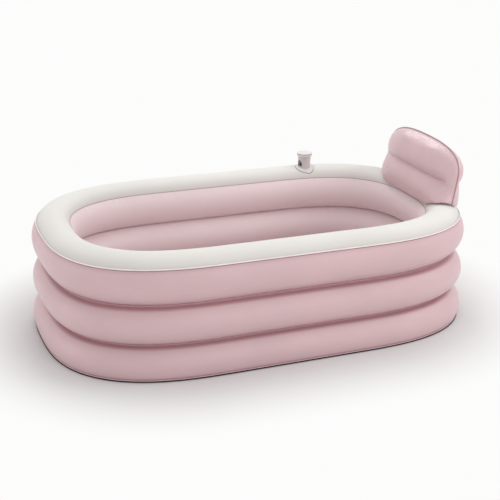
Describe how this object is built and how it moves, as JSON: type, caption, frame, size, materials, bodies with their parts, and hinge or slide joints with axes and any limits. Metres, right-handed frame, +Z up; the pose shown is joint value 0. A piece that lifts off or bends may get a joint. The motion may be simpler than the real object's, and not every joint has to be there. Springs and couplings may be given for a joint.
{
  "type": "inflatable bathtub",
  "caption": "Freestanding inflatable bathtub of stacked air rings under a pale rim cover, with an air floor, a leaning backrest, an upright screw-cap valve and a floor drain.",
  "frame": {"origin": "middle of the base's underside, on the floor", "axes": "+X along the tub towards the backrest, +Z up, +Y to the side of the rim valve"},
  "size_m": [1.6142, 0.9786, 0.6375],
  "materials": {
    "pink_vinyl": "satin",
    "pale_vinyl": "satin",
    "rim_fabric": "matte",
    "mauve_seam": "satin",
    "clear_vinyl": "satin",
    "white_plastic": "satin",
    "grey_plastic": "satin",
    "dark_rubber": "matte"
  },
  "bodies": {
    "tub": {"base_sheet": "pink_vinyl", "base_weld_lip": "pale_vinyl", "lower_ring": "pink_vinyl", "middle_ring": "pink_vinyl", "upper_ring": "pink_vinyl", "rim_cover": "rim_fabric", "rim_outer_welt": "pale_vinyl", "rim_inner_welt": "mauve_seam", "floor_cushion": "pink_vinyl", "backrest_base_strip": "pale_vinyl", "valve_flange": "pale_vinyl", "valve_stem": "white_plastic", "valve_seat": "grey_plastic", "lower_ring_valve": "clear_vinyl", "middle_ring_valve": "clear_vinyl", "floor_valve": "clear_vinyl", "drain_body": "white_plastic"},
    "backrest": {"backrest_front_panel": "pink_vinyl", "backrest_back_panel": "pink_vinyl", "backrest_welt": "mauve_seam", "backrest_valve": "clear_vinyl"},
    "cap_gasket": {"valve_cap_seal": "dark_rubber"},
    "cap": {"valve_cap": "white_plastic"},
    "check_disc": {"valve_diaphragm": "dark_rubber"},
    "side_plug": {"valve_side_plug": "dark_rubber"},
    "lower_stopper": {"lower_ring_stopper": "clear_vinyl"},
    "middle_stopper": {"middle_ring_stopper": "clear_vinyl"},
    "floor_plug": {"floor_stopper": "clear_vinyl"},
    "backrest_plug": {"backrest_stopper": "clear_vinyl"},
    "drain_stopper": {"drain_plug": "white_plastic", "drain_seal": "dark_rubber"}
  },
  "joints": [
    {"name": "backrest_lean", "type": "hinge", "parent": "tub", "child": "backrest", "pos_m": [0.742, 0, 0.4346], "axis": [0, 1, 0], "range_deg": [0, 20], "stiffness_Nm_per_rad": 12},
    {"name": "cap_lift", "type": "slide", "parent": "tub", "child": "cap_gasket", "axis": [0, 0, 1], "range_m": [0, 0.0081]},
    {"name": "cap_turn", "type": "hinge", "parent": "cap_gasket", "child": "cap", "pos_m": [0.3848, 0.3791, 0.43327], "axis": [0, 0, 1], "range_deg": [0, 960]},
    {"name": "check_disc_open", "type": "slide", "parent": "tub", "child": "check_disc", "axis": [0, 0, -1], "range_m": [0, 0.0025], "stiffness_N_per_m": 40},
    {"name": "side_plug_pull", "type": "slide", "parent": "tub", "child": "side_plug", "axis": [-0.9781, -0.2079, 0], "range_m": [0, 0.012]},
    {"name": "lower_stopper_pull", "type": "slide", "parent": "tub", "child": "lower_stopper", "axis": [0, 1, 0], "range_m": [0, 0.012]},
    {"name": "middle_stopper_pull", "type": "slide", "parent": "tub", "child": "middle_stopper", "axis": [0, 1, 0], "range_m": [0, 0.012]},
    {"name": "floor_stopper_pull", "type": "slide", "parent": "tub", "child": "floor_plug", "axis": [0, 0, 1], "range_m": [0, 0.012]},
    {"name": "backrest_stopper_pull", "type": "slide", "parent": "backrest", "child": "backrest_plug", "axis": [0.9941, 0, -0.1084], "range_m": [0, 0.012]},
    {"name": "drain_plug_pull", "type": "slide", "parent": "tub", "child": "drain_stopper", "axis": [0, 0, 1], "range_m": [0, 0.03]}
  ],
  "couplings": [
    {"joint": "cap_lift", "follows": "cap_turn", "m_per_rad": 0.00047746}
  ]
}
